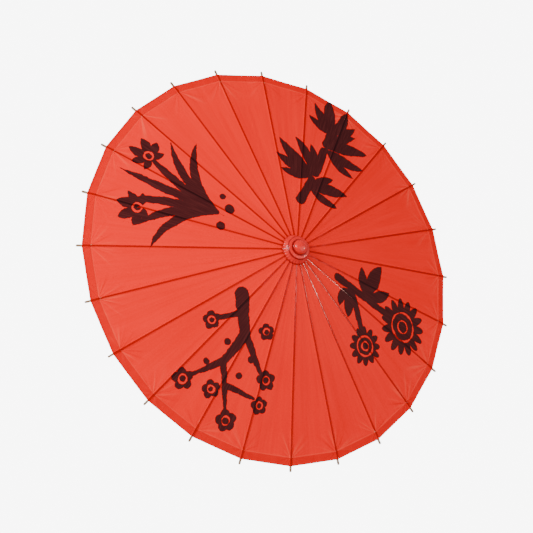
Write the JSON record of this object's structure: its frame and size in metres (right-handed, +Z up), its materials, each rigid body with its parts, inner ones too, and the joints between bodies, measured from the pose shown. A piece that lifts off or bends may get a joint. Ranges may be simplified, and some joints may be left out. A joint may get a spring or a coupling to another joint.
{
  "type": "oil paper umbrella",
  "caption": "Open oil paper umbrella with a bamboo shaft, hinged ribs and stretchers on a sliding runner, a red painted canopy and a round crown knob.",
  "frame": {"origin": "middle of the end cap's flat underside, on the shaft's axis", "axes": "+Z up the shaft to the crown knob, +X along rib 1, the other ribs every 15 degrees"},
  "size_m": [0.841, 0.841, 0.5342],
  "materials": {
    "bamboo": "oiled",
    "pale_bamboo": "oiled",
    "oiled_paper": "oiled, translucent",
    "hem_paper": "oiled, doubled",
    "red_lacquer": "lacquered paper over wood",
    "dark_wood": "turned, oiled",
    "cotton_thread": "waxed"
  },
  "bodies": {
    "frame": {"shaft": "bamboo", "crown_hub": "dark_wood", "crown_thread": "cotton_thread", "stop_peg": "pale_bamboo", "canopy": "oiled_paper", "rim_hem": "hem_paper", "crown_cap": "red_lacquer", "finial_knob": "red_lacquer", "handle_grip": "dark_wood", "end_cap": "pale_bamboo"},
    "runner": {"runner": "dark_wood"},
    "catch": {"catch_spring": "dark_wood"},
    "rib_01": {"rib_01": "bamboo"},
    "stretcher_01": {"stretcher_01": "pale_bamboo"},
    "rib_02": {"rib_02": "bamboo"},
    "stretcher_02": {"stretcher_02": "pale_bamboo"},
    "rib_03": {"rib_03": "bamboo"},
    "stretcher_03": {"stretcher_03": "pale_bamboo"},
    "rib_04": {"rib_04": "bamboo"},
    "stretcher_04": {"stretcher_04": "pale_bamboo"},
    "rib_05": {"rib_05": "bamboo"},
    "stretcher_05": {"stretcher_05": "pale_bamboo"},
    "rib_06": {"rib_06": "bamboo"},
    "stretcher_06": {"stretcher_06": "pale_bamboo"},
    "rib_07": {"rib_07": "bamboo"},
    "stretcher_07": {"stretcher_07": "pale_bamboo"},
    "rib_08": {"rib_08": "bamboo"},
    "stretcher_08": {"stretcher_08": "pale_bamboo"},
    "rib_09": {"rib_09": "bamboo"},
    "stretcher_09": {"stretcher_09": "pale_bamboo"},
    "rib_10": {"rib_10": "bamboo"},
    "stretcher_10": {"stretcher_10": "pale_bamboo"},
    "rib_11": {"rib_11": "bamboo"},
    "stretcher_11": {"stretcher_11": "pale_bamboo"},
    "rib_12": {"rib_12": "bamboo"},
    "stretcher_12": {"stretcher_12": "pale_bamboo"},
    "rib_13": {"rib_13": "bamboo"},
    "stretcher_13": {"stretcher_13": "pale_bamboo"},
    "rib_14": {"rib_14": "bamboo"},
    "stretcher_14": {"stretcher_14": "pale_bamboo"},
    "rib_15": {"rib_15": "bamboo"},
    "stretcher_15": {"stretcher_15": "pale_bamboo"},
    "rib_16": {"rib_16": "bamboo"},
    "stretcher_16": {"stretcher_16": "pale_bamboo"},
    "rib_17": {"rib_17": "bamboo"},
    "stretcher_17": {"stretcher_17": "pale_bamboo"},
    "rib_18": {"rib_18": "bamboo"},
    "stretcher_18": {"stretcher_18": "pale_bamboo"},
    "rib_19": {"rib_19": "bamboo"},
    "stretcher_19": {"stretcher_19": "pale_bamboo"},
    "rib_20": {"rib_20": "bamboo"},
    "stretcher_20": {"stretcher_20": "pale_bamboo"},
    "rib_21": {"rib_21": "bamboo"},
    "stretcher_21": {"stretcher_21": "pale_bamboo"},
    "rib_22": {"rib_22": "bamboo"},
    "stretcher_22": {"stretcher_22": "pale_bamboo"},
    "rib_23": {"rib_23": "bamboo"},
    "stretcher_23": {"stretcher_23": "pale_bamboo"},
    "rib_24": {"rib_24": "bamboo"},
    "stretcher_24": {"stretcher_24": "pale_bamboo"}
  },
  "joints": [
    {"name": "runner_slide", "type": "slide", "parent": "frame", "child": "runner", "axis": [0, 0, 1], "range_m": [-0.29977, 0], "deforming": ["canopy", "rim_hem", "catch_spring"]},
    {"name": "catch_press", "type": "hinge", "parent": "frame", "child": "catch", "pos_m": [0.0038, 0, 0.35606], "axis": [0, -1, 0], "range_deg": [0, 6], "stiffness_Nm_per_rad": 0.6},
    {"name": "rib_01_hinge", "type": "hinge", "parent": "frame", "child": "rib_01", "pos_m": [0.016, 0, 0.505], "axis": [0, 1, 0], "range_deg": [0, 75.01]},
    {"name": "stretcher_01_hinge", "type": "hinge", "parent": "rib_01", "child": "stretcher_01", "pos_m": [0.20177, 0, 0.46513], "axis": [0, 1, 0], "range_deg": [-150.02, 0]},
    {"name": "rib_02_hinge", "type": "hinge", "parent": "frame", "child": "rib_02", "pos_m": [0.01545, 0.00414, 0.505], "axis": [-0.2588, 0.9659, 0], "range_deg": [0, 75.01]},
    {"name": "stretcher_02_hinge", "type": "hinge", "parent": "rib_02", "child": "stretcher_02", "pos_m": [0.19489, 0.05222, 0.46513], "axis": [-0.2588, 0.9659, 0], "range_deg": [-150.02, 0]},
    {"name": "rib_03_hinge", "type": "hinge", "parent": "frame", "child": "rib_03", "pos_m": [0.01386, 0.008, 0.505], "axis": [-0.5, 0.866, 0], "range_deg": [0, 75.01]},
    {"name": "stretcher_03_hinge", "type": "hinge", "parent": "rib_03", "child": "stretcher_03", "pos_m": [0.17474, 0.10088, 0.46513], "axis": [-0.5, 0.866, 0], "range_deg": [-150.02, 0]},
    {"name": "rib_04_hinge", "type": "hinge", "parent": "frame", "child": "rib_04", "pos_m": [0.01131, 0.01131, 0.505], "axis": [-0.7071, 0.7071, 0], "range_deg": [0, 75.01]},
    {"name": "stretcher_04_hinge", "type": "hinge", "parent": "rib_04", "child": "stretcher_04", "pos_m": [0.14267, 0.14267, 0.46513], "axis": [-0.7071, 0.7071, 0], "range_deg": [-150.02, 0]},
    {"name": "rib_05_hinge", "type": "hinge", "parent": "frame", "child": "rib_05", "pos_m": [0.008, 0.01386, 0.505], "axis": [-0.866, 0.5, 0], "range_deg": [0, 75.01]},
    {"name": "stretcher_05_hinge", "type": "hinge", "parent": "rib_05", "child": "stretcher_05", "pos_m": [0.10088, 0.17474, 0.46513], "axis": [-0.866, 0.5, 0], "range_deg": [-150.02, 0]},
    {"name": "rib_06_hinge", "type": "hinge", "parent": "frame", "child": "rib_06", "pos_m": [0.00414, 0.01545, 0.505], "axis": [-0.9659, 0.2588, 0], "range_deg": [0, 75.01]},
    {"name": "stretcher_06_hinge", "type": "hinge", "parent": "rib_06", "child": "stretcher_06", "pos_m": [0.05222, 0.19489, 0.46513], "axis": [-0.9659, 0.2588, 0], "range_deg": [-150.02, 0]},
    {"name": "rib_07_hinge", "type": "hinge", "parent": "frame", "child": "rib_07", "pos_m": [0, 0.016, 0.505], "axis": [-1, 0, 0], "range_deg": [0, 75.01]},
    {"name": "stretcher_07_hinge", "type": "hinge", "parent": "rib_07", "child": "stretcher_07", "pos_m": [0, 0.20177, 0.46513], "axis": [-1, 0, 0], "range_deg": [-150.02, 0]},
    {"name": "rib_08_hinge", "type": "hinge", "parent": "frame", "child": "rib_08", "pos_m": [-0.00414, 0.01545, 0.505], "axis": [-0.9659, -0.2588, 0], "range_deg": [0, 75.01]},
    {"name": "stretcher_08_hinge", "type": "hinge", "parent": "rib_08", "child": "stretcher_08", "pos_m": [-0.05222, 0.19489, 0.46513], "axis": [-0.9659, -0.2588, 0], "range_deg": [-150.02, 0]},
    {"name": "rib_09_hinge", "type": "hinge", "parent": "frame", "child": "rib_09", "pos_m": [-0.008, 0.01386, 0.505], "axis": [-0.866, -0.5, 0], "range_deg": [0, 75.01]},
    {"name": "stretcher_09_hinge", "type": "hinge", "parent": "rib_09", "child": "stretcher_09", "pos_m": [-0.10088, 0.17474, 0.46513], "axis": [-0.866, -0.5, 0], "range_deg": [-150.02, 0]},
    {"name": "rib_10_hinge", "type": "hinge", "parent": "frame", "child": "rib_10", "pos_m": [-0.01131, 0.01131, 0.505], "axis": [-0.7071, -0.7071, 0], "range_deg": [0, 75.01]},
    {"name": "stretcher_10_hinge", "type": "hinge", "parent": "rib_10", "child": "stretcher_10", "pos_m": [-0.14267, 0.14267, 0.46513], "axis": [-0.7071, -0.7071, 0], "range_deg": [-150.02, 0]},
    {"name": "rib_11_hinge", "type": "hinge", "parent": "frame", "child": "rib_11", "pos_m": [-0.01386, 0.008, 0.505], "axis": [-0.5, -0.866, 0], "range_deg": [0, 75.01]},
    {"name": "stretcher_11_hinge", "type": "hinge", "parent": "rib_11", "child": "stretcher_11", "pos_m": [-0.17474, 0.10088, 0.46513], "axis": [-0.5, -0.866, 0], "range_deg": [-150.02, 0]},
    {"name": "rib_12_hinge", "type": "hinge", "parent": "frame", "child": "rib_12", "pos_m": [-0.01545, 0.00414, 0.505], "axis": [-0.2588, -0.9659, 0], "range_deg": [0, 75.01]},
    {"name": "stretcher_12_hinge", "type": "hinge", "parent": "rib_12", "child": "stretcher_12", "pos_m": [-0.19489, 0.05222, 0.46513], "axis": [-0.2588, -0.9659, 0], "range_deg": [-150.02, 0]},
    {"name": "rib_13_hinge", "type": "hinge", "parent": "frame", "child": "rib_13", "pos_m": [-0.016, 0, 0.505], "axis": [0, -1, 0], "range_deg": [0, 75.01]},
    {"name": "stretcher_13_hinge", "type": "hinge", "parent": "rib_13", "child": "stretcher_13", "pos_m": [-0.20177, 0, 0.46513], "axis": [0, -1, 0], "range_deg": [-150.02, 0]},
    {"name": "rib_14_hinge", "type": "hinge", "parent": "frame", "child": "rib_14", "pos_m": [-0.01545, -0.00414, 0.505], "axis": [0.2588, -0.9659, 0], "range_deg": [0, 75.01]},
    {"name": "stretcher_14_hinge", "type": "hinge", "parent": "rib_14", "child": "stretcher_14", "pos_m": [-0.19489, -0.05222, 0.46513], "axis": [0.2588, -0.9659, 0], "range_deg": [-150.02, 0]},
    {"name": "rib_15_hinge", "type": "hinge", "parent": "frame", "child": "rib_15", "pos_m": [-0.01386, -0.008, 0.505], "axis": [0.5, -0.866, 0], "range_deg": [0, 75.01]},
    {"name": "stretcher_15_hinge", "type": "hinge", "parent": "rib_15", "child": "stretcher_15", "pos_m": [-0.17474, -0.10088, 0.46513], "axis": [0.5, -0.866, 0], "range_deg": [-150.02, 0]},
    {"name": "rib_16_hinge", "type": "hinge", "parent": "frame", "child": "rib_16", "pos_m": [-0.01131, -0.01131, 0.505], "axis": [0.7071, -0.7071, 0], "range_deg": [0, 75.01]},
    {"name": "stretcher_16_hinge", "type": "hinge", "parent": "rib_16", "child": "stretcher_16", "pos_m": [-0.14267, -0.14267, 0.46513], "axis": [0.7071, -0.7071, 0], "range_deg": [-150.02, 0]},
    {"name": "rib_17_hinge", "type": "hinge", "parent": "frame", "child": "rib_17", "pos_m": [-0.008, -0.01386, 0.505], "axis": [0.866, -0.5, 0], "range_deg": [0, 75.01]},
    {"name": "stretcher_17_hinge", "type": "hinge", "parent": "rib_17", "child": "stretcher_17", "pos_m": [-0.10088, -0.17474, 0.46513], "axis": [0.866, -0.5, 0], "range_deg": [-150.02, 0]},
    {"name": "rib_18_hinge", "type": "hinge", "parent": "frame", "child": "rib_18", "pos_m": [-0.00414, -0.01545, 0.505], "axis": [0.9659, -0.2588, 0], "range_deg": [0, 75.01]},
    {"name": "stretcher_18_hinge", "type": "hinge", "parent": "rib_18", "child": "stretcher_18", "pos_m": [-0.05222, -0.19489, 0.46513], "axis": [0.9659, -0.2588, 0], "range_deg": [-150.02, 0]},
    {"name": "rib_19_hinge", "type": "hinge", "parent": "frame", "child": "rib_19", "pos_m": [0, -0.016, 0.505], "axis": [1, 0, 0], "range_deg": [0, 75.01]},
    {"name": "stretcher_19_hinge", "type": "hinge", "parent": "rib_19", "child": "stretcher_19", "pos_m": [0, -0.20177, 0.46513], "axis": [1, 0, 0], "range_deg": [-150.02, 0]},
    {"name": "rib_20_hinge", "type": "hinge", "parent": "frame", "child": "rib_20", "pos_m": [0.00414, -0.01545, 0.505], "axis": [0.9659, 0.2588, 0], "range_deg": [0, 75.01]},
    {"name": "stretcher_20_hinge", "type": "hinge", "parent": "rib_20", "child": "stretcher_20", "pos_m": [0.05222, -0.19489, 0.46513], "axis": [0.9659, 0.2588, 0], "range_deg": [-150.02, 0]},
    {"name": "rib_21_hinge", "type": "hinge", "parent": "frame", "child": "rib_21", "pos_m": [0.008, -0.01386, 0.505], "axis": [0.866, 0.5, 0], "range_deg": [0, 75.01]},
    {"name": "stretcher_21_hinge", "type": "hinge", "parent": "rib_21", "child": "stretcher_21", "pos_m": [0.10088, -0.17474, 0.46513], "axis": [0.866, 0.5, 0], "range_deg": [-150.02, 0]},
    {"name": "rib_22_hinge", "type": "hinge", "parent": "frame", "child": "rib_22", "pos_m": [0.01131, -0.01131, 0.505], "axis": [0.7071, 0.7071, 0], "range_deg": [0, 75.01]},
    {"name": "stretcher_22_hinge", "type": "hinge", "parent": "rib_22", "child": "stretcher_22", "pos_m": [0.14267, -0.14267, 0.46513], "axis": [0.7071, 0.7071, 0], "range_deg": [-150.02, 0]},
    {"name": "rib_23_hinge", "type": "hinge", "parent": "frame", "child": "rib_23", "pos_m": [0.01386, -0.008, 0.505], "axis": [0.5, 0.866, 0], "range_deg": [0, 75.01]},
    {"name": "stretcher_23_hinge", "type": "hinge", "parent": "rib_23", "child": "stretcher_23", "pos_m": [0.17474, -0.10088, 0.46513], "axis": [0.5, 0.866, 0], "range_deg": [-150.02, 0]},
    {"name": "rib_24_hinge", "type": "hinge", "parent": "frame", "child": "rib_24", "pos_m": [0.01545, -0.00414, 0.505], "axis": [0.2588, 0.9659, 0], "range_deg": [0, 75.01]},
    {"name": "stretcher_24_hinge", "type": "hinge", "parent": "rib_24", "child": "stretcher_24", "pos_m": [0.19489, -0.05222, 0.46513], "axis": [0.2588, 0.9659, 0], "range_deg": [-150.02, 0]}
  ],
  "couplings": [
    {"joint": "rib_01_hinge", "follows": "runner_slide", "rad_per_m": -4.3667},
    {"joint": "stretcher_01_hinge", "follows": "runner_slide", "rad_per_m": 8.7333},
    {"joint": "rib_02_hinge", "follows": "runner_slide", "rad_per_m": -4.3667},
    {"joint": "stretcher_02_hinge", "follows": "runner_slide", "rad_per_m": 8.7333},
    {"joint": "rib_03_hinge", "follows": "runner_slide", "rad_per_m": -4.3667},
    {"joint": "stretcher_03_hinge", "follows": "runner_slide", "rad_per_m": 8.7333},
    {"joint": "rib_04_hinge", "follows": "runner_slide", "rad_per_m": -4.3667},
    {"joint": "stretcher_04_hinge", "follows": "runner_slide", "rad_per_m": 8.7333},
    {"joint": "rib_05_hinge", "follows": "runner_slide", "rad_per_m": -4.3667},
    {"joint": "stretcher_05_hinge", "follows": "runner_slide", "rad_per_m": 8.7333},
    {"joint": "rib_06_hinge", "follows": "runner_slide", "rad_per_m": -4.3667},
    {"joint": "stretcher_06_hinge", "follows": "runner_slide", "rad_per_m": 8.7333},
    {"joint": "rib_07_hinge", "follows": "runner_slide", "rad_per_m": -4.3667},
    {"joint": "stretcher_07_hinge", "follows": "runner_slide", "rad_per_m": 8.7333},
    {"joint": "rib_08_hinge", "follows": "runner_slide", "rad_per_m": -4.3667},
    {"joint": "stretcher_08_hinge", "follows": "runner_slide", "rad_per_m": 8.7333},
    {"joint": "rib_09_hinge", "follows": "runner_slide", "rad_per_m": -4.3667},
    {"joint": "stretcher_09_hinge", "follows": "runner_slide", "rad_per_m": 8.7333},
    {"joint": "rib_10_hinge", "follows": "runner_slide", "rad_per_m": -4.3667},
    {"joint": "stretcher_10_hinge", "follows": "runner_slide", "rad_per_m": 8.7333},
    {"joint": "rib_11_hinge", "follows": "runner_slide", "rad_per_m": -4.3667},
    {"joint": "stretcher_11_hinge", "follows": "runner_slide", "rad_per_m": 8.7333},
    {"joint": "rib_12_hinge", "follows": "runner_slide", "rad_per_m": -4.3667},
    {"joint": "stretcher_12_hinge", "follows": "runner_slide", "rad_per_m": 8.7333},
    {"joint": "rib_13_hinge", "follows": "runner_slide", "rad_per_m": -4.3667},
    {"joint": "stretcher_13_hinge", "follows": "runner_slide", "rad_per_m": 8.7333},
    {"joint": "rib_14_hinge", "follows": "runner_slide", "rad_per_m": -4.3667},
    {"joint": "stretcher_14_hinge", "follows": "runner_slide", "rad_per_m": 8.7333},
    {"joint": "rib_15_hinge", "follows": "runner_slide", "rad_per_m": -4.3667},
    {"joint": "stretcher_15_hinge", "follows": "runner_slide", "rad_per_m": 8.7333},
    {"joint": "rib_16_hinge", "follows": "runner_slide", "rad_per_m": -4.3667},
    {"joint": "stretcher_16_hinge", "follows": "runner_slide", "rad_per_m": 8.7333},
    {"joint": "rib_17_hinge", "follows": "runner_slide", "rad_per_m": -4.3667},
    {"joint": "stretcher_17_hinge", "follows": "runner_slide", "rad_per_m": 8.7333},
    {"joint": "rib_18_hinge", "follows": "runner_slide", "rad_per_m": -4.3667},
    {"joint": "stretcher_18_hinge", "follows": "runner_slide", "rad_per_m": 8.7333},
    {"joint": "rib_19_hinge", "follows": "runner_slide", "rad_per_m": -4.3667},
    {"joint": "stretcher_19_hinge", "follows": "runner_slide", "rad_per_m": 8.7333},
    {"joint": "rib_20_hinge", "follows": "runner_slide", "rad_per_m": -4.3667},
    {"joint": "stretcher_20_hinge", "follows": "runner_slide", "rad_per_m": 8.7333},
    {"joint": "rib_21_hinge", "follows": "runner_slide", "rad_per_m": -4.3667},
    {"joint": "stretcher_21_hinge", "follows": "runner_slide", "rad_per_m": 8.7333},
    {"joint": "rib_22_hinge", "follows": "runner_slide", "rad_per_m": -4.3667},
    {"joint": "stretcher_22_hinge", "follows": "runner_slide", "rad_per_m": 8.7333},
    {"joint": "rib_23_hinge", "follows": "runner_slide", "rad_per_m": -4.3667},
    {"joint": "stretcher_23_hinge", "follows": "runner_slide", "rad_per_m": 8.7333},
    {"joint": "rib_24_hinge", "follows": "runner_slide", "rad_per_m": -4.3667},
    {"joint": "stretcher_24_hinge", "follows": "runner_slide", "rad_per_m": 8.7333}
  ]
}
